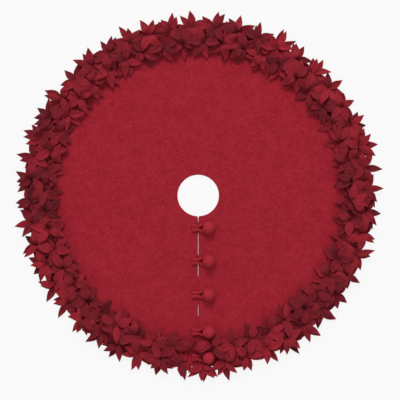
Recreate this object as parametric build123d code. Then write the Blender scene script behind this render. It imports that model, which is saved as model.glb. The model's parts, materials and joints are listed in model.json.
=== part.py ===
from build123d import *
import math
import os

# Felt tree skirt: a slit felt disc with a trunk hole, a hem of die-cut felt
# flowers, and a closure of five felt balls on thread shanks with cord loops.
# Units are mm, +Z is up, and the origin is the centre of the trunk hole on the
# underside. The slit runs from the hole to the hem along -Y.

os.makedirs("parts", exist_ok=True)

# ---- felt panel ----
DISC_R = 580.0
HOLE_R = 70.0
FELT_T = 4.0
SLIT_W = 2.5
SLIT_CORNER_R = 4.0

# ---- hem flowers ----
HEM_INSET = 14.0
PETALS = 6
PETAL_L = 60.0
PETAL_W = 34.0
PETAL_ROOT_W = 5.0
SHOULDER_AT = 33.0
SHOULDER_R = 16.0
PETAL_T = 2.5
PETAL_RISE = 10.0
PETAL_GAP = 2.5
TRIMMED_L = 34.0
STANDING_RISE = 60.0
NECK_R = 7.0
LOWEST_NECK = 3.0
LAYERS = 3
LAYER_GAP = 0.8
CLIMB_STEPS = 60
FIRST_LAYER = 2
FLOWER_NODES = 32
LAST_FLOWER_X = 10.0

# ---- closure ----
BUTTON_R = 20.0
BUTTON_X = 35.0
BUTTON_LIFT = 2.0
FIRST_BUTTON_IN = 40.0
LAST_FLOWER_ROOM = 21.2
LAST_BUTTON_PITCH = 86.0
# how far the first four buttons are along the way from the first to the fourth
BUTTON_SHARES = (0.0, 0.32, 0.64, 1.0)
CORD_R = 5.0
LEG_GAP = 1.6
SOFT_GAP = 0.4
CORD_LIFT = 0.3
LOOP_ROOT_X = -17.0
LEG_END_X = -3.0
WRAP_FROM = 120.0
# what the hem flowers leave free round balls and loops
ROOM_GAP = 2.0
ROOM_STEP = 8.0

# ---- sewing thread ----
SHANK_R = 1.6
KNOT_R = 3.0
KNOT_UP = 4.0
TURNING_GAP = 0.08
THREAD_R = 0.6
THREAD_END_Z = 0.4
STITCH_OUT = 1.5
TACK_SPAN = 6.0

# ---- what follows from them ----
FELT_TOP = FELT_T
BALL_Z = FELT_TOP + BUTTON_LIFT + BUTTON_R
CORD_Z = FELT_TOP + CORD_LIFT + CORD_R
KNOT_Z = BALL_Z + KNOT_UP
LEG_PITCH = 2 * CORD_R + LEG_GAP

# One flower stands between the last loop's side and the hem's edge.
LAST_BUTTON_IN = LEG_PITCH / 2 + CORD_R + LAST_FLOWER_ROOM

# The loop passes under the ball's shoulder: this radius keeps the cord's
# surface SOFT_GAP off the ball.
WRAP_R = math.sqrt((BUTTON_R + CORD_R + SOFT_GAP) ** 2 - (BALL_Z - CORD_Z) ** 2)

FIRST_Y = -(HOLE_R + FIRST_BUTTON_IN)
LAST_Y = -(DISC_R - LAST_BUTTON_IN)
FOURTH_Y = LAST_Y + LAST_BUTTON_PITCH
BUTTON_Y = [FIRST_Y + (FOURTH_Y - FIRST_Y) * share for share in BUTTON_SHARES]
BUTTON_Y.append(LAST_Y)

# a petal's length and rise
OPEN = (PETAL_L, PETAL_RISE)
STANDING = (TRIMMED_L, STANDING_RISE)

# Flowers stand in two zigzag rows of near equilateral triangles, and the three
# corners of a triangle are in three layers. Two flowers of one layer point
# petals at each other over two rows' distance, and these must not meet.
PETAL_REACH = PETAL_L * math.cos(math.radians(PETAL_RISE))
HALF_PITCH = (2 * PETAL_REACH + PETAL_GAP) / math.sqrt(12)
ROW_R = (DISC_R - HEM_INSET, DISC_R - HEM_INSET - HALF_PITCH * math.sqrt(3))
MIDDLE_R = sum(ROW_R) / 2
# Whole zigzags and whole turns of the layers meet again at the slit.
PLACES = 2 * LAYERS * int(2 * math.pi * MIDDLE_R / HALF_PITCH / LAYERS / 2)


def place_on_ring(place):
    """x, y and turn of a place, counted from the slit, in its zigzag row. The
    turn is the local tangent, in degrees."""
    from_slit = (place + 0.5) * 360.0 / PLACES
    row_r = ROW_R[place % 2]
    x = row_r * math.sin(math.radians(from_slit))
    y = -row_r * math.cos(math.radians(from_slit))
    return x, y, from_slit


def petal_angles():
    """Petals point between the neighbouring flowers, not at them."""
    step = 360.0 / PETALS
    return [step / 2 + i * step for i in range(PETALS)]


def half_width(along):
    """Half of an open petal's width, before its shoulders are rounded."""
    if along < SHOULDER_AT:
        return (PETAL_ROOT_W + (PETAL_W - PETAL_ROOT_W) * along / SHOULDER_AT) / 2
    return PETAL_W / 2 * (PETAL_L - along) / (PETAL_L - SHOULDER_AT)


def most_climb(place, other):
    """How much higher a petal of one flower has climbed than a petal of the
    other at the same spot in plan, at most, were both flowers in one layer."""
    x, y, turn = place_on_ring(place)
    other_x, other_y, other_turn = place_on_ring(other)
    rise = math.radians(PETAL_RISE)
    most = 0.0
    for angle in petal_angles():
        heading = math.radians(turn + angle)
        for step in range(CLIMB_STEPS + 1):
            along = PETAL_L * step / CLIMB_STEPS
            for side in (-1, -0.5, 0, 0.5, 1):
                aside = half_width(along) * side
                reach = along * math.cos(rise)
                dx = x + reach * math.cos(heading) - aside * math.sin(heading) - other_x
                dy = y + reach * math.sin(heading) + aside * math.cos(heading) - other_y
                for other_angle in petal_angles():
                    other_heading = math.radians(other_turn + other_angle)
                    u, v = math.cos(other_heading), math.sin(other_heading)
                    other_along = (dx * u + dy * v) / math.cos(rise)
                    if 0 <= other_along <= PETAL_L and abs(dy * u - dx * v) < half_width(other_along):
                        most = max(most, abs(along - other_along) * math.sin(rise))
    return most


# Where petals of two layers cross, the lower one may have climbed further: a
# layer must clear that as well as the felt, for next neighbours and for the
# next but one in the inner row, which is the tighter row.
PETAL_ROOM = PETAL_T / math.cos(math.radians(PETAL_RISE)) + LAYER_GAP
CLIMB = max(most_climb(0, 1), most_climb(1, 2), most_climb(1, 3))
LAYER_STEP = PETAL_ROOM + CLIMB
NECK_H = [LOWEST_NECK + layer * LAYER_STEP for layer in range(LAYERS)]


def save(shape, name):
    export_step(shape, f"parts/{name}.step")


def save_group(solids, name):
    save(Compound(children=list(solids)), name)


# ---------------------------------------------------------------- felt panel
def felt_panel():
    """The disc, with the slit's two corners at the trunk hole rounded off."""
    slit_len = DISC_R + 10.0
    sketch = Circle(DISC_R) - Circle(HOLE_R)
    sketch -= Pos(0, -slit_len / 2, 0) * Rectangle(SLIT_W, slit_len)
    corners = [v for v in sketch.vertices() if math.hypot(v.X, v.Y) < HOLE_R + 1.0]
    sketch = fillet(corners, SLIT_CORNER_R)
    return extrude(sketch, FELT_T)


# ------------------------------------------------------------------- closure
def button():
    """A felt ball with the shank's channel and the hollow round its knot."""
    ball = Sphere(BUTTON_R)
    channel_r = SHANK_R + TURNING_GAP
    channel_len = KNOT_Z - BALL_Z + BUTTON_R
    channel = Pos(0, 0, -BUTTON_R) * Cylinder(
        channel_r, channel_len, align=(Align.CENTER, Align.CENTER, Align.MIN)
    )
    hollow = Pos(0, 0, KNOT_Z - BALL_Z) * Sphere(KNOT_R + TURNING_GAP)
    return ball - channel - hollow


def shank():
    """The thread shank: up from the panel into the ball, ending in a knot."""
    stem = Pos(0, 0, THREAD_END_Z) * Cylinder(
        SHANK_R, KNOT_Z - THREAD_END_Z, align=(Align.CENTER, Align.CENTER, Align.MIN)
    )
    return stem + Pos(0, 0, KNOT_Z) * Sphere(KNOT_R)


def button_loop():
    """One cord, laid out at its button's y: both legs side by side across the
    slit, parting round the ball and closing in an arc on its far side."""
    half = LEG_PITCH / 2
    turn = math.radians(WRAP_FROM)
    touch = (BUTTON_X + WRAP_R * math.cos(turn), WRAP_R * math.sin(turn))
    along = (math.sin(turn), -math.cos(turn))
    root = (LOOP_ROOT_X, half)
    part_at = (LEG_END_X, half)
    upper_leg = Line(root, part_at)
    upper_flare = Spline(part_at, touch, tangents=((1, 0), along))
    wrap = ThreePointArc(touch, (BUTTON_X + WRAP_R, 0), (touch[0], -touch[1]))
    lower_flare = mirror(upper_flare, about=Plane.XZ)
    lower_leg = mirror(upper_leg, about=Plane.XZ)
    route = Wire(
        upper_leg.edges()
        + upper_flare.edges()
        + wrap.edges()
        + lower_flare.edges()
        + lower_leg.edges()
    )
    section = Plane(origin=(*root, 0), z_dir=(1, 0, 0)) * Circle(CORD_R)
    cord = sweep(section, path=route)
    for side in (half, -half):
        cord += Pos(LOOP_ROOT_X, side, 0) * Sphere(CORD_R)
    needle_hole = Pos(LOOP_ROOT_X, 0, 0) * Rot(90, 0, 0) * Cylinder(
        THREAD_R + TURNING_GAP, 2 * LEG_PITCH
    )
    return cord - needle_hole


def loop_stitch():
    """Thread through both rounded cord ends, taken down into the panel
    outside each leg and between them. The loop lifts about this thread."""
    reach = LEG_PITCH / 2 + CORD_R + STITCH_OUT
    crown = Pos(0, 0, CORD_Z) * Rot(90, 0, 0) * Cylinder(THREAD_R, 2 * reach)
    drop_len = CORD_Z - THREAD_END_Z
    stitch = crown
    for y in (-reach, 0.0, reach):
        drop = Pos(0, y, THREAD_END_Z) * Cylinder(
            THREAD_R, drop_len, align=(Align.CENTER, Align.CENTER, Align.MIN)
        )
        stitch += drop + Pos(0, y, CORD_Z) * Sphere(THREAD_R)
    return stitch


# ------------------------------------------------------------------- flowers
def petal(length, rise):
    """One pointed petal along +X, tilted up from the flower's centre: straight
    sides to two rounded shoulders, then a point. A trimmed petal is the same
    shape at a smaller size. PETAL_W is over the shoulders before rounding."""
    size = length / PETAL_L
    root_half, half = PETAL_ROOT_W / 2 * size, PETAL_W / 2 * size
    shoulder_x = SHOULDER_AT * size
    points = [
        (0, -root_half), (0, root_half), (shoulder_x, half), (length, 0), (shoulder_x, -half),
    ]
    outline = make_face(Polyline(*points, close=True))
    shoulders = [v for v in outline.vertices() if abs(v.X - shoulder_x) < 0.01]
    outline = fillet(shoulders, SHOULDER_R * size)
    return Rot(0, -rise, 0) * extrude(outline, PETAL_T)


def flower(neck_h, petals):
    """A die-cut flower gathered into a neck, so its petals flare at the height
    of its layer. Each petal is (length, rise), or None where it is cut off."""
    shape = extrude(RegularPolygon(NECK_R, 6), neck_h + PETAL_T)
    for angle, cut in zip(petal_angles(), petals):
        if cut is not None:
            shape += Pos(0, 0, neck_h) * Rot(0, 0, angle) * petal(*cut)
    return shape


def flower_tack(neck_h):
    """The stitch that gathers a flower and sews it down through its neck."""
    side = 2 * THREAD_R
    top_z = FELT_TOP + neck_h + PETAL_T
    bar = Pos(0, 0, top_z) * Box(
        TACK_SPAN, side, side, align=(Align.CENTER, Align.CENTER, Align.MIN)
    )
    leg_x = TACK_SPAN / 2 - THREAD_R
    for x in (-leg_x, leg_x):
        bar += Pos(x, 0, THREAD_END_Z) * Box(
            side, side, top_z + side - THREAD_END_Z,
            align=(Align.CENTER, Align.CENTER, Align.MIN),
        )
    return bar


def closure_room():
    """Circles (x, y, radius) that the hem flowers leave to balls and loops: a
    row of them over the two legs, then wider ones over the flare to the ball."""
    leg_room = LEG_PITCH / 2 + CORD_R + ROOM_GAP
    ball_room = max(WRAP_R + CORD_R, BUTTON_R) + ROOM_GAP
    steps = math.ceil((BUTTON_X - LOOP_ROOT_X) / ROOM_STEP)
    room = []
    for y in BUTTON_Y:
        for step in range(steps + 1):
            x = LOOP_ROOT_X + (BUTTON_X - LOOP_ROOT_X) * step / steps
            flare = max(0.0, (x - LEG_END_X) / (BUTTON_X - LEG_END_X))
            room.append((x, y, leg_room + (ball_room - leg_room) * flare))
    return room


def petal_is_clear(x, y, heading, length, rise):
    """True if a petal of the flower at (x, y) keeps off the closure's room."""
    size = length / PETAL_L
    widths = ((0.0, PETAL_ROOT_W), (SHOULDER_AT / 2, PETAL_W / 2), (SHOULDER_AT, PETAL_W),
              ((SHOULDER_AT + PETAL_L) / 2, PETAL_W / 2), (PETAL_L, 0.0))
    for along, width in widths:
        reach = along * size * math.cos(math.radians(rise))
        px = x + reach * math.cos(heading)
        py = y + reach * math.sin(heading)
        for cx, cy, r in closure_room():
            if math.hypot(px - cx, py - cy) < r + width / 2 * size:
                return False
    return True


def petals_at(x, y, turn, neck_h):
    """Petals lie open where they can. Beside the closure they are trimmed and
    stand up, but never above the balls, and the rest are cut off."""
    standing_top = FELT_TOP + neck_h + TRIMMED_L * math.sin(math.radians(STANDING_RISE))
    ways = [OPEN]
    if standing_top < BALL_Z + BUTTON_R:
        ways.append(STANDING)
    petals = []
    for angle in petal_angles():
        heading = math.radians(turn + angle)
        fits = [way for way in ways if petal_is_clear(x, y, heading, *way)]
        petals.append(fits[0] if fits else None)
    return petals


def flower_places():
    """(place, x, y, turn) of each flower, zigzag between two rows all round
    from the slit. The first place would be under the last button, so that
    flower moves to the hem's edge."""
    for place in range(PLACES):
        x, y, turn = place_on_ring(place)
        if place == 0:
            x, y = LAST_FLOWER_X, 1.0 + NECK_R - DISC_R
        yield place, x, y, turn


save(felt_panel(), "felt_panel")

ball = button()
loop = button_loop()
for number, y in enumerate(BUTTON_Y, start=1):
    save(Pos(BUTTON_X, y, BALL_Z) * ball, f"button_{number}")
    save(Pos(0, y, CORD_Z) * loop, f"loop_{number}")
save_group([Pos(BUTTON_X, y, 0) * shank() for y in BUTTON_Y], "button_shanks")
save_group([Pos(LOOP_ROOT_X, y, 0) * loop_stitch() for y in BUTTON_Y], "loop_stitches")

clusters = [[] for _ in range(FLOWER_NODES)]
open_flowers = [flower(h, [OPEN] * PETALS) for h in NECK_H]
tack_shapes = [flower_tack(h) for h in NECK_H]
tacks = []
for place, x, y, turn in flower_places():
    layer = (place + FIRST_LAYER) % LAYERS
    petals = petals_at(x, y, turn, NECK_H[layer])
    shape = open_flowers[layer]
    if petals != [OPEN] * PETALS:
        shape = flower(NECK_H[layer], petals)
    cluster = clusters[place * FLOWER_NODES // PLACES]
    cluster.append(Pos(x, y, FELT_TOP) * Rot(0, 0, turn) * shape)
    tacks.append(Pos(x, y, 0) * Rot(0, 0, turn) * tack_shapes[layer])
for number, flowers in enumerate(clusters, start=1):
    save_group(flowers, f"flowers_{number:02d}")
save_group(tacks, "flower_tacks")
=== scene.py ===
import json
import math

import bmesh
import bpy
import numpy as np
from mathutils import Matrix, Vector, noise


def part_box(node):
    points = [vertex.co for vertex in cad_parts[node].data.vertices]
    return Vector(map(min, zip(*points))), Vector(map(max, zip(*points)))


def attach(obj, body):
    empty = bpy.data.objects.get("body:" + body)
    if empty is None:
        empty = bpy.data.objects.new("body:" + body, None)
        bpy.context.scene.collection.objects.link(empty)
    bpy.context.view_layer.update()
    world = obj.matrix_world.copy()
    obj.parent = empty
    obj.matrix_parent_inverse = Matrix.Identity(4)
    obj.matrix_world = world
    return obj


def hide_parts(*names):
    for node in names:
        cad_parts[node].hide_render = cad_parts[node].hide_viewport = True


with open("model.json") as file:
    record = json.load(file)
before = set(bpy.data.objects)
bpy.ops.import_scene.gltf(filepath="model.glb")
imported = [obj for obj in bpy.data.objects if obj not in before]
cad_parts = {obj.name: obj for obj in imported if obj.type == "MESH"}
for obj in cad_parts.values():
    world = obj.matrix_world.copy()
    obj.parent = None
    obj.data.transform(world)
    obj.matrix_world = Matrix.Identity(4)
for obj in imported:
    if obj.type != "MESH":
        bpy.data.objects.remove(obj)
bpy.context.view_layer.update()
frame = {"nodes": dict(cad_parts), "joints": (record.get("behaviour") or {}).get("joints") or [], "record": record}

# Felt tree skirt laid flat, seen from straight above. Everything is in metres in
# the row frame: origin at the trunk hole's centre on the underside, +Z up, the
# slit along -Y, buttons on its right.

SEED = 4817
rng = np.random.default_rng(SEED)

MM = 0.001


# ------------------------------------------------------------ sizes from the CAD
def nodes_called(start):
    return sorted(n for n in frame["nodes"] if n.startswith(start) and n[len(start):].isdigit())


panel_low, panel_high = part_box("felt_panel")
DISC_R = (panel_high.x - panel_low.x) / 2
FELT_T = panel_high.z
BORE = next(m for m in frame["record"]["mounts"] if m["name"] == "trunk_hole")
HOLE_R = BORE["dims"]["r_mm"] * MM

BUTTONS = nodes_called("button_")
LOOPS = nodes_called("loop_")
FLOWERS = nodes_called("flowers_")
LOOP_ROOTS = {j["child"]: Vector(j["pos_m"]) for j in frame["joints"] if j["child"] in LOOPS}


def node_centre(name):
    low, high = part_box(name)
    return (low + high) / 2


button_low, button_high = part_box(BUTTONS[0])
BALL_R = (button_high.z - button_low.z) / 2
BALLS = {name: node_centre(name) for name in BUTTONS}
loop_low, loop_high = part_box(LOOPS[0])
CORD_R = (loop_high.z - loop_low.z) / 2
BUTTON_X = BALLS[BUTTONS[0]].x
WRAP_R = loop_high.x - CORD_R - BUTTON_X

# the loop's route, as in the CAD source
LEG_PITCH = 11.6 * MM
LEG_END_X = -3.0 * MM
WRAP_FROM = math.radians(120.0)
ROOT_X = LOOP_ROOTS[LOOPS[0]].x
CORD_Z = LOOP_ROOTS[LOOPS[0]].z


# ------------------------------------------------------------------- mesh helpers
def link_object(name, data):
    obj = bpy.data.objects.new(name, data)
    bpy.context.scene.collection.objects.link(obj)
    return obj


def shade_smooth(mesh):
    mesh.polygons.foreach_set("use_smooth", [True] * len(mesh.polygons))


def new_object(name, verts, faces, smooth=True):
    mesh = bpy.data.meshes.new(name)
    mesh.from_pydata([tuple(v) for v in verts], [], faces)
    mesh.validate()
    mesh.update()
    if smooth:
        shade_smooth(mesh)
    return link_object(name, mesh)


def set_tone(mesh, tone):
    """Stores how far each vertex is from the bright to the dark colour of its felt. On petals it also holds a
    painted highlight on the cut edges and painted shade in the crease.
    """
    tones = np.full(len(mesh.vertices), tone) if np.isscalar(tone) else np.array(tone)
    layer = mesh.attributes.new("tone", "FLOAT", "POINT")
    layer.data.foreach_set("value", tones.astype(np.float32))


class MeshParts:
    """Gathers several closed surfaces, each vertex with a tone, in one mesh."""

    def __init__(self):
        self.verts, self.faces, self.tones = [], [], []

    def add(self, verts, faces, tone=0.0):
        start = len(self.verts)
        self.verts.extend(tuple(v) for v in verts)
        self.faces.extend([tuple(start + i for i in f) for f in faces])
        self.tones.extend(np.full(len(verts), tone) if np.isscalar(tone) else tone)

    def build(self, name):
        obj = new_object(name, self.verts, self.faces)
        set_tone(obj.data, self.tones)
        return obj


# the rings of a tube's round end, as shares of its radius
ROUND_END = (0.25, 0.55, 0.8, 0.95)
LUMPS_PER_M = 320


def tube(points, radius, sides=10, wobble=0.0, seed=0.0, widths=None):
    """A closed tube with round ends along points. Radius may be a number or one
    per point, widths stretch it sideways, and wobble is how lumpy it is."""
    points = np.array(points, float)
    count = len(points)
    radii = np.full(count, radius) if np.isscalar(radius) else np.array(radius, float)
    tangents = np.gradient(points, axis=0)
    tangents /= np.linalg.norm(tangents, axis=1)[:, None]
    side = np.cross(tangents[0], [0, 0, 1.0])
    if np.linalg.norm(side) < 1e-6:
        side = np.array([1.0, 0, 0])
    widths = [1.0] * count if widths is None else widths
    side = side / np.linalg.norm(side)
    frames = []
    for tangent in tangents:
        side = side - tangent * (side @ tangent)
        side = side / np.linalg.norm(side)
        frames.append(side)

    def ring(i, shift, scale):
        centre = points[i] + tangents[i] * shift
        up = np.cross(tangents[i], frames[i])
        out = []
        for k in range(sides):
            a = 2 * math.pi * k / sides
            reach = radii[i] * scale
            if wobble:
                around = Vector((math.cos(a), math.sin(a), seed))
                reach *= 1 + wobble * noise.noise(Vector(centre) * LUMPS_PER_M + around)
            out.append(centre + reach * (math.cos(a) * widths[i] * frames[i] + math.sin(a) * up))
        return out

    rings = [ring(0, -radii[0] * math.sqrt(1 - c * c), c) for c in ROUND_END]
    rings += [ring(i, 0, 1) for i in range(count)]
    rings += [ring(-1, radii[-1] * math.sqrt(1 - c * c), c) for c in reversed(ROUND_END)]
    verts = [v for r in rings for v in r]
    faces = []
    for i in range(len(rings) - 1):
        for k in range(sides):
            a, b = i * sides + k, i * sides + (k + 1) % sides
            faces.append((a, b, b + sides, a + sides))
    verts.append(points[0] - tangents[0] * radii[0])
    verts.append(points[-1] + tangents[-1] * radii[-1])
    first, last = len(verts) - 2, len(verts) - 1
    end = (len(rings) - 1) * sides
    for k in range(sides):
        faces.append((first, (k + 1) % sides, k))
        faces.append((last, end + k, end + (k + 1) % sides))
    return verts, faces


THREAD_R = 0.6 * MM
THREAD_STEP = 0.45 * MM


def thread_strands(path, radius=THREAD_R, strands=3, pitch=2.6 * MM):
    """Plied sewing thread: strands that wind round a path."""
    path = np.array(path, float)
    steps = np.linalg.norm(np.diff(path, axis=0), axis=1)
    length = np.concatenate([[0], np.cumsum(steps)])
    count = max(8, int(length[-1] / THREAD_STEP))
    s = np.linspace(0, length[-1], count)
    line = np.stack([np.interp(s, length, path[:, k]) for k in range(3)], 1)
    tangents = np.gradient(line, axis=0)
    tangents /= np.linalg.norm(tangents, axis=1)[:, None]
    never_along = [0.31, 0.17, 0.93]
    side = np.cross(tangents, never_along)
    side /= np.linalg.norm(side, axis=1)[:, None]
    up = np.cross(tangents, side)
    out = []
    for k in range(strands):
        turn = 2 * math.pi * (s / pitch + k / strands)
        offset = np.cos(turn)[:, None] * side + np.sin(turn)[:, None] * up
        out.append(tube(line + offset * radius * 0.48, radius * 0.56, sides=5))
    return out


# ---------------------------------------------------------------------- materials
def link(tree, a, b):
    tree.links.new(a, b)


def felt_material(name, bright, dark, wool, fibre_scale, bump, sheen):
    """Needled felt. Wool is (scale per metre, strength) of each noise that makes
    patches of lighter and darker wool, from clouds to flecks; finer still are
    the matted fibres, in colour and relief. Each piece carries its own tone."""
    mat = bpy.data.materials.new(name)
    mat.use_nodes = True
    tree = mat.node_tree
    nodes = tree.nodes
    nodes.clear()
    out = nodes.new("ShaderNodeOutputMaterial")
    bsdf = nodes.new("ShaderNodeBsdfPrincipled")
    bsdf.inputs["Specular IOR Level"].default_value = 0.12
    bsdf.inputs["Sheen Weight"].default_value = sheen
    bsdf.inputs["Sheen Roughness"].default_value = 0.45
    bsdf.inputs["Sheen Tint"].default_value = (1.0, 0.30, 0.34, 1.0)
    link(tree, bsdf.outputs[0], out.inputs["Surface"])
    coord = nodes.new("ShaderNodeTexCoord")

    def noise_node(scale, detail, roughness, distortion):
        node = nodes.new("ShaderNodeTexNoise")
        node.inputs["Scale"].default_value = scale
        node.inputs["Detail"].default_value = detail
        node.inputs["Roughness"].default_value = roughness
        node.inputs["Distortion"].default_value = distortion
        link(tree, coord.outputs["Object"], node.inputs["Vector"])
        return node.outputs["Fac"]

    def math_node(kind, a, b):
        node = nodes.new("ShaderNodeMath")
        node.operation = kind
        for socket, value in zip(node.inputs, (a, b)):
            if isinstance(value, (int, float)):
                socket.default_value = value
            else:
                link(tree, value, socket)
        return node.outputs[0]

    tone = nodes.new("ShaderNodeAttribute")
    tone.attribute_name = "tone"
    share = tone.outputs["Fac"]
    for scale, strength in wool:
        patch = math_node("SUBTRACT", noise_node(scale, 3.0, 0.6, 0.4), 0.5)
        share = math_node("ADD", share, math_node("MULTIPLY", patch, strength))
    fine = noise_node(fibre_scale, 6.0, 0.7, 2.2)
    hair = noise_node(fibre_scale * 3.1, 3.0, 0.5, 6.0)
    for fibres, strength in ((fine, 0.5), (hair, 0.4)):
        share = math_node("ADD", share, math_node("MULTIPLY", math_node("SUBTRACT", fibres, 0.5), strength))
    mix = nodes.new("ShaderNodeMix")
    mix.data_type = "RGBA"
    mix.inputs["A"].default_value = (*bright, 1.0)
    mix.inputs["B"].default_value = (*dark, 1.0)
    mix.clamp_factor = True
    link(tree, share, mix.inputs["Factor"])
    link(tree, mix.outputs["Result"], bsdf.inputs["Base Color"])
    relief = math_node("ADD", math_node("MULTIPLY", fine, 0.7), math_node("MULTIPLY", hair, 0.5))
    bumps = nodes.new("ShaderNodeBump")
    bumps.inputs["Strength"].default_value = bump
    bumps.inputs["Distance"].default_value = 0.6 * MM
    link(tree, relief, bumps.inputs["Height"])
    link(tree, bumps.outputs["Normal"], bsdf.inputs["Normal"])
    link(tree, math_node("ADD", math_node("MULTIPLY", fine, 0.16), 0.84), bsdf.inputs["Roughness"])
    return mat


def srgb(r, g, b):
    """Linear colour of an 8-bit display colour."""
    out = []
    for c in (r, g, b):
        c = c / 255
        out.append(c / 12.92 if c <= 0.04045 else ((c + 0.055) / 1.055) ** 2.4)
    return tuple(out)


PANEL_TONE, BALL_TONE, CORD_TONE = 0.5, 0.35, 0.4
panel_felt = felt_material(
    "panel_felt", srgb(173, 42, 56), srgb(119, 9, 25), ((22, 0.42), (75, 0.66), (210, 1.2)), 700, 0.55, 0.06)
petal_felt = felt_material(
    "petal_felt", srgb(147, 33, 45), srgb(84, 22, 30), ((60, 0.30), (230, 0.7)), 700, 0.6, 0.08)
ball_felt = felt_material(
    "ball_felt", srgb(177, 44, 57), srgb(124, 23, 34), ((90, 0.5), (300, 0.6)), 600, 0.8, 0.14)
cord_felt = felt_material(
    "cord_felt", srgb(174, 40, 54), srgb(120, 21, 32), ((120, 0.5), (320, 0.6)), 700, 0.8, 0.12)
thread_mat = felt_material(
    "thread", srgb(120, 26, 36), srgb(74, 14, 22), ((400, 0.4),), 1500, 0.3, 0.05)


def finish_piece(obj, material, body, slot, *nodes):
    obj.data.materials.append(material)
    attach(obj, body)
    if nodes:
        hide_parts(*nodes)
    return obj


# --------------------------------------------------------------------- felt panel
# direction, length and phase of each slow wave in the laid felt
WAVES = [(rng.uniform(0, math.pi), rng.uniform(0.10, 0.34), rng.uniform(0, 2 * math.pi)) for _ in range(14)]
MEAN_LIFT = 1.2 * MM
WAVE_LIFT = 3.0 * MM
MOST_LIFT = 3.0 * MM
FLAT_BESIDE_SLIT, FREE_BEYOND_IT = 0.03, 0.09


def panel_lift(x, y):
    """How far the laid felt stands off the floor: slow, low waves, which die out
    beside the closure, where loops and balls hold it flat."""
    wave = sum(
        np.sin(2 * math.pi / length * (x * math.cos(a) + y * math.sin(a)) + phase) * length
        for a, length, phase in WAVES
    )
    from_slit = np.clip((np.abs(x) - FLAT_BESIDE_SLIT) / FREE_BEYOND_IT, 0, 1)
    free = np.where(np.asarray(y) < -0.5 * HOLE_R, from_slit, 1.0)
    return np.clip(MEAN_LIFT + WAVE_LIFT * wave, 0, MOST_LIFT) * free


# where along the slit, as shares of the way from the stop before to the next (the
# hole's edge, then each loop), the cut edges stand apart, and by how much on each
# side. The first gape runs out into the hole.
GAPES = (
    (0, 0.0, 0.50, 0.55 * MM),
    (1, 0.17, 0.82, 0.45 * MM),
    (2, 0.08, 0.48, 0.45 * MM),
    (3, 0.28, 0.60, 0.36 * MM),
)
GAPE_END = 9 * MM
CLOSED_HALF_GAP = 0.004 * MM


def slit_half_gap(r):
    """Half the slit's width: the cut edges touch at the loops and near the hem,
    and gape a little in between."""
    stops = [HOLE_R] + [-BALLS[name].y for name in BUTTONS]
    half = CLOSED_HALF_GAP
    for k, start, end, gape in GAPES:
        step = stops[k + 1] - stops[k]
        inside = stops[k] + step * end - r
        if k > 0:
            inside = min(inside, r - stops[k] - step * start)
        half += gape * math.sqrt(min(1.0, max(0.0, inside / GAPE_END)))
    return half


# The panel is a grid of radii and angles, with three close lines along each cut
# edge, over which its top drops to round the edge.
PANEL_ROWS, PANEL_COLUMNS = 90, 355
ROW_MARGIN, COLUMN_MARGIN = 6 * MM, 0.02
EDGE_LINES = (0.0, 0.35 * MM, 1.2 * MM)
EDGE_ANGLES = (0.0, 0.0007, 0.0022)
EDGE_DROPS = (1.1 * MM, 0.45 * MM, 0.08 * MM)
# the slit opens out into the hole: over this length, and to this much on each side
SLIT_CORNER, SLIT_CORNER_W = 6 * MM, 4.5 * MM


def with_edge_lines(start, end, edge, margin, count):
    """Places from start to end: close together at both, then even."""
    between = np.linspace(start + margin, end - margin, count)
    return [start + e for e in edge] + list(between) + [end - e for e in reversed(edge)]


def edge_drop(lines_in):
    return EDGE_DROPS[lines_in] if lines_in < len(EDGE_DROPS) else 0.0


def felt_panel():
    """The disc with its hole and slit, waved, with soft cut edges."""
    radii = with_edge_lines(HOLE_R, DISC_R, EDGE_LINES, ROW_MARGIN, PANEL_ROWS)
    turns = with_edge_lines(0.0, 2 * math.pi, EDGE_ANGLES, COLUMN_MARGIN, PANEL_COLUMNS)
    count, columns = len(radii), len(turns)
    top, bottom = [], []
    for i, r in enumerate(radii):
        from_edge = min(i, count - 1 - i)
        corner = max(0.0, 1 - (r - HOLE_R) / SLIT_CORNER)
        half = (slit_half_gap(r) + (1 - math.sqrt(1 - corner ** 2)) * SLIT_CORNER_W) / r
        for j, turn in enumerate(turns):
            from_slit = min(j, columns - 1 - j)
            angle = half + turn * (1 - half / math.pi)
            wobble = 1.0
            if from_edge == 0:
                wobble += 0.0006 * noise.noise(Vector((math.cos(angle) * 60, math.sin(angle) * 60, i)))
            x, y = r * wobble * math.sin(angle), -r * wobble * math.cos(angle)
            lift = float(panel_lift(x, y))
            drop = max(edge_drop(from_edge), edge_drop(from_slit))
            top.append((x, y, lift + FELT_T - drop))
            bottom.append((x, y, lift * 0.6 + drop * 0.7))
    verts = top + bottom
    size = len(top)
    faces = []
    for i in range(count - 1):
        for j in range(columns - 1):
            a = i * columns + j
            b = a + columns
            faces.append((a, a + 1, b + 1, b))
            faces.append((size + a, size + b, size + b + 1, size + a + 1))
    for i in range(count - 1):
        a, b = i * columns, (i + 1) * columns
        faces.append((a, b, size + b, size + a))
        a, b = a + columns - 1, b + columns - 1
        faces.append((a, size + a, size + b, b))
    for a in range(columns - 1):
        faces.append((a, size + a, size + a + 1, a + 1))
        b = (count - 1) * columns + a
        faces.append((b, b + 1, size + b + 1, size + b))
    return new_object("felt_panel_cloth", verts, faces)


# what the sheet's area leaves out along the slit, 1 mm less than the CAD's slit is
# wide, or 0.05% of the area
panel = felt_panel()
set_tone(panel.data, PANEL_TONE)
finish_piece(panel, panel_felt, "skirt", "panel_felt", "felt_panel")


# ------------------------------------------------------------------------- buttons
MOST_LUMP = 0.8 * MM


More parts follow.
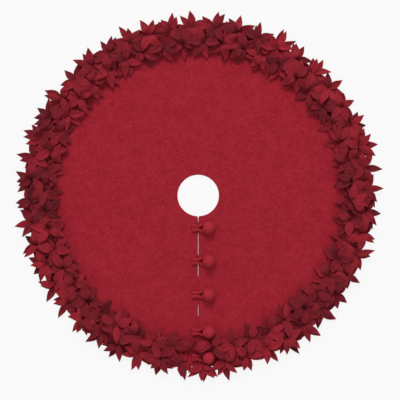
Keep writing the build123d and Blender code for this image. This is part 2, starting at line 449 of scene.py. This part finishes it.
def felt_ball(name, centre, seed):
    """A wet-felted ball: nearly round, with soft lumps of three sizes."""
    bm = bmesh.new()
    bmesh.ops.create_icosphere(bm, subdivisions=5, radius=1.0)
    for v in bm.verts:
        n = v.co.normalized()
        lump = noise.noise(n * 1.6 + Vector((seed, 0, 0))) * 0.8
        lump += noise.noise(n * 5.0 + Vector((0, seed, 0))) * 0.35
        lump += noise.noise(n * 19.0 + Vector((0, 0, seed))) * 0.16
        v.co = centre + n * (BALL_R + lump * MM - MOST_LUMP)
    mesh = bpy.data.meshes.new(name)
    bm.to_mesh(mesh)
    bm.free()
    shade_smooth(mesh)
    set_tone(mesh, BALL_TONE)
    return link_object(name, mesh)


for k, name in enumerate(BUTTONS):
    ball = felt_ball(f"{name}_felt_ball", BALLS[name], 11.3 * (k + 1))
    finish_piece(ball, ball_felt, name, "ball_felt", name)


# --------------------------------------------------------------------------- loops
LEG_STEPS, FLARE_STEPS, ARC_STEPS = 11, 15, 34
ROOT_HALF, LEG_HALF = LEG_PITCH / 2 + 1.0 * MM, LEG_PITCH / 2 - 0.3 * MM
# the cord's width as a share of its height: pressed flat where it is sewn down
# and a little narrow round the ball
WIDTH_AT_ROOT, WIDTH_AT_FLARE, WIDTH_AT_BALL, WIDTH_ROUND_BALL = 1.44, 1.22, 0.92, 0.94


def loop_route(y, z):
    """The cord's centreline, leg, flare, arc round the ball and back, and its
    width there: the legs are pressed against each other where they are sewn."""
    touch = np.array([BUTTON_X + WRAP_R * math.cos(WRAP_FROM), WRAP_R * math.sin(WRAP_FROM)])
    along = np.array([math.sin(WRAP_FROM), -math.cos(WRAP_FROM)])
    root, start = np.array([ROOT_X, ROOT_HALF]), np.array([LEG_END_X, LEG_HALF])
    leg = [root + (start - root) * t for t in np.arange(LEG_STEPS) / LEG_STEPS]
    span = np.linalg.norm(touch - start)
    flare = []
    for t in np.arange(FLARE_STEPS) / FLARE_STEPS:
        h00, h10 = 2 * t ** 3 - 3 * t ** 2 + 1, t ** 3 - 2 * t ** 2 + t
        h01, h11 = -2 * t ** 3 + 3 * t ** 2, t ** 3 - t ** 2
        flare.append(h00 * start + h10 * 0.5 * span * np.array([1, 0]) + h01 * touch + h11 * span * along)
    arc = []
    for a in np.linspace(WRAP_FROM, -WRAP_FROM, ARC_STEPS):
        arc.append(np.array([BUTTON_X + WRAP_R * math.cos(a), WRAP_R * math.sin(a)]))
    half_route = leg + flare
    widths = [WIDTH_AT_ROOT + (WIDTH_AT_FLARE - WIDTH_AT_ROOT) * i / LEG_STEPS for i in range(LEG_STEPS)]
    widths += [max(WIDTH_AT_BALL, WIDTH_AT_FLARE - 0.5 * i / FLARE_STEPS) for i in range(FLARE_STEPS)]
    back = [np.array([p[0], -p[1]]) for p in reversed(half_route)]
    route = [(p[0], y + p[1], z) for p in half_route + arc + back]
    return route, widths + [WIDTH_ROUND_BALL] * ARC_STEPS + widths[::-1]


for k, name in enumerate(LOOPS):
    root = LOOP_ROOTS[name]
    route, widths = loop_route(root.y, root.z)
    radii = [CORD_R * (0.985 + 0.03 * noise.noise(Vector(p) * 60)) for p in route]
    verts, faces = tube(route, radii, sides=22, wobble=0.035, seed=k * 3.7, widths=widths)
    cord = new_object(f"{name}_felt_cord", verts, faces)
    set_tone(cord.data, CORD_TONE)
    finish_piece(cord, cord_felt, name, "cord_felt", name)


# ------------------------------------------------------------ stitches and shanks
# threads end at this height, just inside the felt's underside
UNDER_END = 0.6 * MM
stitches = MeshParts()
reach = LEG_PITCH / 2 + CORD_R * 1.38 + 2.0 * MM
for name in LOOPS:
    root = LOOP_ROOTS[name]
    crown = [(root.x, root.y - reach, root.z), (root.x, root.y + reach, root.z)]
    legs = [[(root.x, root.y + y, root.z), (root.x, root.y + y, UNDER_END)] for y in (-reach, 0, reach)]
    for path in [crown] + legs:
        for verts, faces in thread_strands(path):
            stitches.add(verts, faces)
finish_piece(stitches.build("loop_stitch_threads"), thread_mat, "skirt", "thread", "loop_stitches")

SHANK_THREADS = 4
SHANK_SPREAD = 0.9 * MM
SHANK_INTO_BALL = 4 * MM
shanks = MeshParts()
for name in BUTTONS:
    c = BALLS[name]
    for k in range(SHANK_THREADS):
        a = math.pi / 4 + k * 2 * math.pi / SHANK_THREADS
        dx, dy = SHANK_SPREAD * math.cos(a), SHANK_SPREAD * math.sin(a)
        foot = (c.x + dx, c.y + dy, UNDER_END)
        head = (c.x - dx * 0.4, c.y - dy * 0.4, c.z - BALL_R + SHANK_INTO_BALL)
        for verts, faces in thread_strands([foot, head]):
            shanks.add(verts, faces)
finish_piece(shanks.build("button_shank_threads"), thread_mat, "skirt", "thread", "button_shanks")


# ------------------------------------------------------------------------- flowers
PETAL_FELT_T = 2.5 * MM
CLEARANCE = 0.3 * MM
# the CAD flower's neck and middle are within this distance of its centre
NECK_REACH = 7.4 * MM
# petals above this height are pressed down on the pile
CEILING = 38 * MM
# the hem's outer row of flowers is beyond this distance from the hole's centre
HEM_FROM = DISC_R - 40 * MM
INNER_ROW_OUT = 12 * MM
LAST_FLOWER_SHIFT = np.array([8.0, -2.0]) * MM


def loose_solids(node):
    """Vertex coordinates of each separate solid in a CAD node."""
    mesh = frame["nodes"][node].data
    co = np.array([v.co for v in mesh.vertices])
    keys = np.round(co * 1e5).astype(int)
    _, inverse = np.unique(keys, axis=0, return_inverse=True)
    inverse = inverse.ravel()
    parent = list(range(inverse.max() + 1))

    def root(i):
        while parent[i] != i:
            parent[i] = parent[parent[i]]
            i = parent[i]
        return i

    for p in mesh.polygons:
        ids = [inverse[v] for v in p.vertices]
        for other in ids[1:]:
            parent[root(other)] = root(ids[0])
    groups = {}
    for v, key in enumerate(inverse):
        groups.setdefault(root(key), []).append(v)
    return [co[g] for g in groups.values()]


def flower_site(co):
    """Centre and neck height of a CAD flower."""
    low = co[co[:, 2] < co[:, 2].min() + 0.05 * MM]
    centre = low[:, :2].mean(0)
    from_centre = np.hypot(co[:, 0] - centre[0], co[:, 1] - centre[1])
    return centre, co[from_centre < NECK_REACH][:, 2].max() - FELT_T


class HeightField:
    """The top of everything laid so far, on a square grid over the skirt."""

    def __init__(self, half, cell):
        self.half, self.cell = half, cell
        self.count = int(2 * half / cell) + 1
        line = np.linspace(-half, half, self.count)
        x, y = np.meshgrid(line, line, indexing="ij")
        r = np.hypot(x, y)
        self.z = np.where((r < DISC_R) & (r > HOLE_R), FELT_T + panel_lift(x, y), 0.0)

    def index(self, x, y):
        i = np.clip(((x + self.half) / self.cell).round().astype(int), 0, self.count - 1)
        j = np.clip(((y + self.half) / self.cell).round().astype(int), 0, self.count - 1)
        return i, j

    def at(self, x, y):
        i, j = self.index(x, y)
        return self.z[i, j]

    def raise_to(self, x, y, z):
        i, j = self.index(x.ravel(), y.ravel())
        np.maximum.at(self.z, (i, j), z.ravel())


field = HeightField(half=0.66, cell=1.5 * MM)

ROWS = 14
ALONG = np.linspace(0, 1, ROWS)
ACROSS = np.array([-1, -0.97, -0.84, -0.5, -0.13, 0, 0.13, 0.5, 0.84, 0.97, 1])
COLUMNS = len(ACROSS)
CREASE = 0.12
# painted light across a petal, carried in its tone: a painted highlight along the cut edges and painted shade
# along the crease
PAINTED_EDGE_HIGHLIGHT_AND_CREASE_SHADE = np.where(np.abs(ACROSS) > 0.95, -0.16, 0.0) + np.where(np.abs(ACROSS) < 0.05, 0.12, 0.0)


def petal_width(u):
    """Half width along a petal as a share of its widest: a pointed ovate leaf."""
    body = np.sin(np.pi * np.clip(u, 0, 1) ** 0.86) * (1 - 0.16 * np.clip(u, 0, 1) ** 3)
    return np.maximum(body, 0.26 * (1 - u) ** 1.5 + 0.02)


def petal_surface(centre, z, heading, p):
    """Middle surface of one petal, as a grid of points from root to tip."""
    s = ALONG
    elevation = p["rise"] + p["curl"] * s + p["tip"] * np.clip(s - 0.6, 0, 1) * 2.5
    direction = heading + p["bend"] * s
    ds = np.diff(s, prepend=0) * p["length"]
    x = centre[0] + np.cumsum(ds * np.cos(elevation) * np.cos(direction))
    y = centre[1] + np.cumsum(ds * np.cos(elevation) * np.sin(direction))
    line = np.stack([x, y, z + np.cumsum(ds * np.sin(elevation))], 1)
    perp = np.stack([-np.sin(direction), np.cos(direction), 0 * s], 1)
    normal = np.stack([
        -np.sin(elevation) * np.cos(direction), -np.sin(elevation) * np.sin(direction), np.cos(elevation)
    ], 1)
    roll = p["roll0"] + p["roll"] * s
    side = np.cos(roll)[:, None] * perp + np.sin(roll)[:, None] * normal
    up = -np.sin(roll)[:, None] * perp + np.cos(roll)[:, None] * normal
    width = petal_width(s) * p["width"] / 2
    cup = p["cup"] * (0.4 + 0.6 * np.sin(np.pi * s))
    cup = np.where(np.abs(cup) < 1e-3, 1e-3, cup)
    angle = cup[:, None] * ACROSS[None, :]
    lateral = np.sin(angle) / cup[:, None]
    # a soft V along the midrib on top of the cup
    fold = p["fold"] * np.sin(np.pi * np.clip(s, 0.05, 1) ** 0.7)
    valley = np.sqrt(ACROSS ** 2 + CREASE ** 2) - CREASE
    raised = (1 - np.cos(angle)) / cup[:, None] + fold[:, None] * valley[None, :]
    raised = raised + p["ripple"] * np.sin(s * p["ripple_n"] + p["phase"])[:, None] * ACROSS[None, :] ** 2
    return (
        line[:, None, :]
        + (lateral * width[:, None])[..., None] * side[:, None, :]
        + (raised * width[:, None])[..., None] * up[:, None, :]
    )


def surface_normals(points):
    """Unit normals of a grid of points."""
    along = np.gradient(points, axis=0)
    across = np.gradient(points, axis=1)
    normals = np.cross(along, across)
    return normals / np.maximum(np.linalg.norm(normals, axis=2), 1e-12)[..., None]


def smooth_cover(need):
    """A smooth profile that is nowhere under need, from 0 at the petal's root."""
    cover = np.maximum(need, 0)
    for _ in range(6):
        padded = np.concatenate([[0], cover, [cover[-1]]])
        cover = np.maximum(cover, np.convolve(padded, [0.25, 0.5, 0.25], "valid"))
    cover[0] = 0
    return cover


def lay_petal(centre, z, heading, p):
    """Lets a petal rise a little, then drape over what lies under it."""
    clearance = PETAL_FELT_T / 2 + CLEARANCE
    near_enough = 0.2 * MM
    inner = slice(2, COLUMNS - 2)
    for _ in range(6):
        points = petal_surface(centre, z, heading, p)
        free = points[2:, inner]
        need = (field.at(free[..., 0], free[..., 1]) + clearance - free[..., 2]).max(1)
        row = int(np.argmax(need / (ALONG[2:] + 0.15)))
        if need[row] < near_enough or p["rise"] >= p["most_rise"]:
            break
        step = need[row] / (max(0.12, ALONG[2 + row]) * p["length"])
        p["rise"] = min(p["rise"] + 0.5 * step, p["most_rise"])
    for _ in range(3):
        free = points[:, inner]
        need = (field.at(free[..., 0], free[..., 1]) + clearance - free[..., 2]).max(1)
        need[:2] = 0
        if need.max() < near_enough:
            break
        points[..., 2] += smooth_cover(need)[:, None]
    # what lies on top of a pile is pressed down on it
    height = points[..., 2]
    height = np.where(height > CEILING, CEILING + 0.4 * (height - CEILING), height)
    # and tips that hang over the hem touch the floor at most
    points[..., 2] = np.maximum(height, clearance)
    return points


def add_to_field(points):
    """Raises the field to the top of a petal that has been laid."""
    u, v = np.linspace(0, ROWS - 1, 44), np.linspace(0, COLUMNS - 1, 30)
    iu, iv = np.clip(u.astype(int), 0, ROWS - 2), np.clip(v.astype(int), 0, COLUMNS - 2)
    fu, fv = (u - iu)[:, None, None], (v - iv)[None, :, None]
    near = points[iu][:, iv] * (1 - fv) + points[iu][:, iv + 1] * fv
    far = points[iu + 1][:, iv] * (1 - fv) + points[iu + 1][:, iv + 1] * fv
    dense = near * (1 - fu) + far * fu
    field.raise_to(dense[..., 0], dense[..., 1], dense[..., 2] + PETAL_FELT_T / 2)


def petal_shell(points):
    """The petal's felt round its middle surface, with blunt cut edges."""
    normals = surface_normals(points)
    edge = np.where(np.abs(ACROSS) > 0.99, 0.0, np.where(np.abs(ACROSS) > 0.95, 0.86, 1.0))
    end = np.sqrt(np.clip(1 - ALONG ** 24, 0, 1))
    half = PETAL_FELT_T / 2 * edge[None, :] * end[:, None]
    top = points + normals * half[..., None]
    bottom = points - normals * half[..., None]
    verts = list(top.reshape(-1, 3))
    # each petal's tone starts from the painted highlight on its cut edges and the painted shade in its crease
    tones = list(np.tile(PAINTED_EDGE_HIGHLIGHT_AND_CREASE_SHADE, ROWS))
    index_top = np.arange(ROWS * COLUMNS).reshape(ROWS, COLUMNS)
    index_bottom = index_top.copy()
    for i in range(ROWS - 1):
        for j in range(1, COLUMNS - 1):
            index_bottom[i, j] = len(verts)
            verts.append(bottom[i, j])
            tones.append(PAINTED_EDGE_HIGHLIGHT_AND_CREASE_SHADE[j])
    faces = []
    for i in range(ROWS - 1):
        for j in range(COLUMNS - 1):
            for index in (index_top, index_bottom):
                quad = (index[i, j], index[i + 1, j], index[i + 1, j + 1], index[i, j + 1])
                faces.append(quad if index is index_top else quad[::-1])
    faces.append(tuple(index_top[0]) + tuple(reversed(index_bottom[0][1:-1])))
    return verts, faces, np.array(tones)


# radius in mm and share of the height up a flower's gathered middle
KNOB_PROFILE = ((6.6, 0.0), (5.4, 0.3), (4.8, 0.6), (5.4, 0.85), (5.0, 1.0), (3.4, 1.1), (1.2, 1.06))
PLEATS = 6


def flower_knob(centre, base_z, top_z):
    """The gathered middle of a flower, with pleats that run up to the stitch."""
    sides = 4 * PLEATS
    height = top_z - base_z
    flute_at = rng.uniform(0, 2 * math.pi)
    verts = []
    for r, h in KNOB_PROFILE:
        for k in range(sides):
            a = 2 * math.pi * k / sides
            reach = r * MM * (1 + 0.12 * math.sin(PLEATS * a + flute_at) * (0.4 + h * 0.6))
            x, y = centre[0] + reach * math.cos(a), centre[1] + reach * math.sin(a)
            verts.append((x, y, base_z + height * h))
    faces = []
    for i in range(len(KNOB_PROFILE) - 1):
        for k in range(sides):
            a, b = i * sides + k, i * sides + (k + 1) % sides
            faces.append((a, b, b + sides, a + sides))
    faces.append(tuple(reversed(range(sides))))
    faces.append(tuple((len(KNOB_PROFILE) - 1) * sides + k for k in range(sides)))
    return verts, faces


def random_petal(upper, over_hem):
    """The cut and set of one petal, of the lower or the upper die-cut. Rise, curl
    and tip are how it climbs along its length, bend how it turns aside, roll how it
    twists, and cup, fold and ripple its shape across. Draping lifts it up to
    most_rise."""
    rad = math.radians
    p = {
        "length": rng.normal(60, 2.4) * MM,
        "width": rng.normal(29, 1.8) * MM,
        "rise": rad(rng.uniform(4, 15) if upper else rng.uniform(-1, 5)),
        "most_rise": rad(16 if upper else 7),
        "curl": rad(rng.normal(-9, 6) if upper else rng.normal(-2, 5)),
        "tip": rad(rng.normal(2, 8)),
        "bend": rad(rng.normal(0, 11)),
        "roll0": rad(rng.normal(0, 7)),
        "roll": rad(rng.normal(0, 13)),
        "cup": rng.normal(0.10, 0.26),
        "fold": rng.normal(0.30, 0.10) * (1 if rng.random() < 0.75 else -1),
        "ripple": rng.uniform(0, 0.08),
        "ripple_n": rng.uniform(4, 9),
        "phase": rng.uniform(0, 6.28),
    }
    # some petals are turned on their side
    if rng.random() < 0.18:
        p["roll"] = rad(rng.choice([-1, 1]) * rng.uniform(34, 60))
        p["rise"] += rad(6)
    if over_hem:
        p["length"] *= rng.uniform(0.80, 1.14)
        p["width"] *= 0.88
        p["rise"] = rad(rng.uniform(0, 10) if upper else rng.uniform(-3, 4))
        p["curl"] = rad(rng.normal(-8, 6))
        p["roll"] *= 0.6
    return p


def closure_rooms():
    """Circles in plan that petals leave to balls and loops: over the two legs,
    then wider over the flare to the ball."""
    gap = 1.0 * MM
    legs, wrap = LEG_PITCH / 2 + 1.5 * CORD_R + gap, max(WRAP_R + CORD_R, BALL_R) + gap
    rooms = []
    for name in BUTTONS:
        ball = BALLS[name]
        for x in np.linspace(ROOT_X, ball.x, 9):
            flare = max(0.0, (x - LEG_END_X) / (ball.x - LEG_END_X))
            rooms.append((x, ball.y, legs + (wrap - legs) * flare))
    return rooms


ROOMS = closure_rooms()
LIFTED = math.radians(30)
LIFTED_REACH = 0.09
UNDER_LIFTED = 3 * MM


def fouls_closure(points):
    """True if a petal stands over a loop, or where a loop lies when it is lifted
    over to the left of its ends."""
    for cx, cy, r in ROOMS:
        if (np.hypot(points[..., 0] - cx, points[..., 1] - cy) < r).any():
            return True
    for name in BUTTONS:
        back = ROOT_X - points[..., 0]
        level = np.abs(points[..., 1] - BALLS[name].y) < WRAP_R + CORD_R
        beside = level & (back > 0) & (back < LIFTED_REACH)
        ceiling = CORD_Z - CORD_R + back * math.tan(LIFTED) - UNDER_LIFTED
        if (beside & (points[..., 2] > ceiling)).any():
            return True
    return False


SIZES = (1.0, 0.92, 0.84, 0.76, 0.68, 0.6, 0.52, 0.46, 0.4)
SWINGS = (0, 10, -10, 20, -20, 30, -30)


def grow_petal(centre, z, heading, upper):
    """One petal as large as the closure leaves room for, or None. It swings to
    either side, in degrees, before it is cut smaller."""
    outwards = math.cos(heading - math.atan2(centre[1], centre[0])) > 0.45
    p = random_petal(upper, outwards and np.hypot(*centre) > HEM_FROM)
    for size in SIZES:
        q = dict(p, length=p["length"] * size, width=p["width"] * size ** 0.85)
        for swing in SWINGS:
            if swing or size < 1:
                q["bend"], q["roll"] = p["bend"] * 0.4, p["roll"] * 0.4
            way = heading + math.radians(swing)
            if fouls_closure(petal_surface(centre, z, way, q)):
                continue
            points = lay_petal(centre, z, way, dict(q))
            if not fouls_closure(points):
                add_to_field(points)
                return points
    return None


def felt_tone():
    """The flowers are cut from two felts: a crimson one and a duller, darker one."""
    return float(rng.normal(0.24, 0.10) if rng.random() < 0.5 else rng.normal(0.63, 0.12))


PETALS = 6
LOWER_CUT_Z = FELT_T + 2.6 * MM
UPPER_CUT_STEP = 4.5 * MM
KNOB_OVER_CUT = 1.6 * MM
# a tack over the knob: shares of its half length, and mm above the flower's base
TACK_R, TACK_HALF = 0.55 * MM, 3 * MM
TACK_STITCH = ((-1, -1), (-0.9, 2.6), (0.9, 2.6), (1, -1))

groups = {node: MeshParts() for node in FLOWERS}
tacks = MeshParts()


def beside_closure(centre):
    return abs(centre[0]) < 110 * MM and centre[1] < 0


def shown_at(centre):
    """Where a flower is sewn: the inner row a little further out than in the CAD,
    and the one flower squeezed in between the last loop and the hem aside."""
    from_hole = np.hypot(*centre)
    if from_hole < HEM_FROM:
        return centre * (1 + INNER_ROW_OUT / from_hole)
    if 0 < centre[0] < 20 * MM and centre[1] < 0:
        return centre + LAST_FLOWER_SHIFT
    return centre


def petal_count(centre, upper):
    if not upper:
        return PETALS
    return 5 if beside_closure(centre) else rng.integers(3, 5)


def lay_flower(node, cad_centre, neck_h, upper):
    """The full lower die-cut of a flower, or the few petals of its upper one with
    the gathered middle and the tack."""
    centre = shown_at(cad_centre)
    z = LOWER_CUT_Z + 0.12 * neck_h + (UPPER_CUT_STEP if upper else 0.0)
    tone = felt_tone()
    parts = groups[node]
    outward = math.atan2(centre[1], centre[0])
    turn = outward + math.radians(rng.normal(180 / PETALS if upper else 0, 7))
    count = petal_count(cad_centre, upper)
    for k in rng.permutation(PETALS)[:count]:
        heading = turn + 2 * math.pi / PETALS * k + math.radians(rng.normal(0, 5))
        points = grow_petal(centre, z, heading, upper)
        if points is None:
            continue
        verts, faces, tones = petal_shell(points)
        parts.add(verts, faces, tones + tone + float(rng.normal(0, 0.09)))
    if upper:
        parts.add(*flower_knob(centre, FELT_T, z + KNOB_OVER_CUT), tone + 0.1)
        a = rng.uniform(0, math.pi)
        across = TACK_HALF * np.array([math.cos(a), math.sin(a)])
        path = [(*(centre + across * t), z + h * MM) for t, h in TACK_STITCH]
        for verts, faces in thread_strands(path, TACK_R, strands=2):
            tacks.add(verts, faces)


sites = [(node, *flower_site(co)) for node in FLOWERS for co in loose_solids(node)]

# All lower die-cuts are laid before the upper ones. Flowers beside the closure
# come first, so that theirs lie flattest.
for upper in (False, True):
    order = sorted(rng.permutation(len(sites)), key=lambda i: not beside_closure(sites[i][1]))
    for i in order:
        lay_flower(*sites[i], upper)

for node, parts in groups.items():
    finish_piece(parts.build(f"{node}_petals"), petal_felt, "skirt", "petal_felt", node)
finish_piece(tacks.build("flower_tack_threads"), thread_mat, "skirt", "thread", "flower_tacks")


# --------------------------------------------------------------------------- stage
def lit_paper(albedo, glow):
    """Pale paper that is lit from under as well, so it stays even."""
    material = bpy.data.materials.new("paper")
    material.use_nodes = True
    bsdf = material.node_tree.nodes["Principled BSDF"]
    bsdf.inputs["Base Color"].default_value = (albedo, albedo, albedo, 1)
    bsdf.inputs["Roughness"].default_value = 1.0
    bsdf.inputs["Specular IOR Level"].default_value = 0.0
    bsdf.inputs["Emission Color"].default_value = (1, 1, 1, 1)
    bsdf.inputs["Emission Strength"].default_value = glow
    return material


FLOOR_HALF, FLOOR_Z = 9, -0.6 * MM
corners = [(x * FLOOR_HALF, y * FLOOR_HALF, FLOOR_Z) for x, y in ((-1, -1), (1, -1), (1, 1), (-1, 1))]
floor = new_object("floor", corners, [(0, 1, 2, 3)], smooth=False)
floor.data.materials.append(lit_paper(albedo=0.08, glow=0.87))

world = bpy.data.worlds.new("studio")
world.use_nodes = True
background = world.node_tree.nodes["Background"]
background.inputs["Color"].default_value = (1, 1, 1, 1)
background.inputs["Strength"].default_value = 0.68
bpy.context.scene.world = world


def area_light(name, place, target, size, power):
    data = bpy.data.lights.new(name, "AREA")
    data.shape = "DISK"
    data.size = size
    data.energy = power
    obj = link_object(name, data)
    obj.location = place
    obj.rotation_euler = (Vector(target) - Vector(place)).to_track_quat("-Z", "Y").to_euler()


area_light("key", (-0.9, 7.0, 7.0), (0, 0, 0), size=3.4, power=520)

# The camera looks straight down with the slit towards the bottom of the frame,
# over a point a little towards the slit from the hole.
CAMERA_X, CAMERA_Y, CAMERA_H = 6.102 * MM, -15.255 * MM, 4.2
VIEW_WIDTH = 1.356
SENSOR_MM = 36.0
camera_data = bpy.data.cameras.new("camera")
camera_data.sensor_width = SENSOR_MM
camera_data.lens = SENSOR_MM * CAMERA_H / VIEW_WIDTH
camera_data.clip_end = 60
camera = link_object("camera", camera_data)
camera.location = (CAMERA_X, CAMERA_Y, CAMERA_H)
bpy.context.scene.camera = camera
bpy.context.scene.view_settings.view_transform = "Standard"
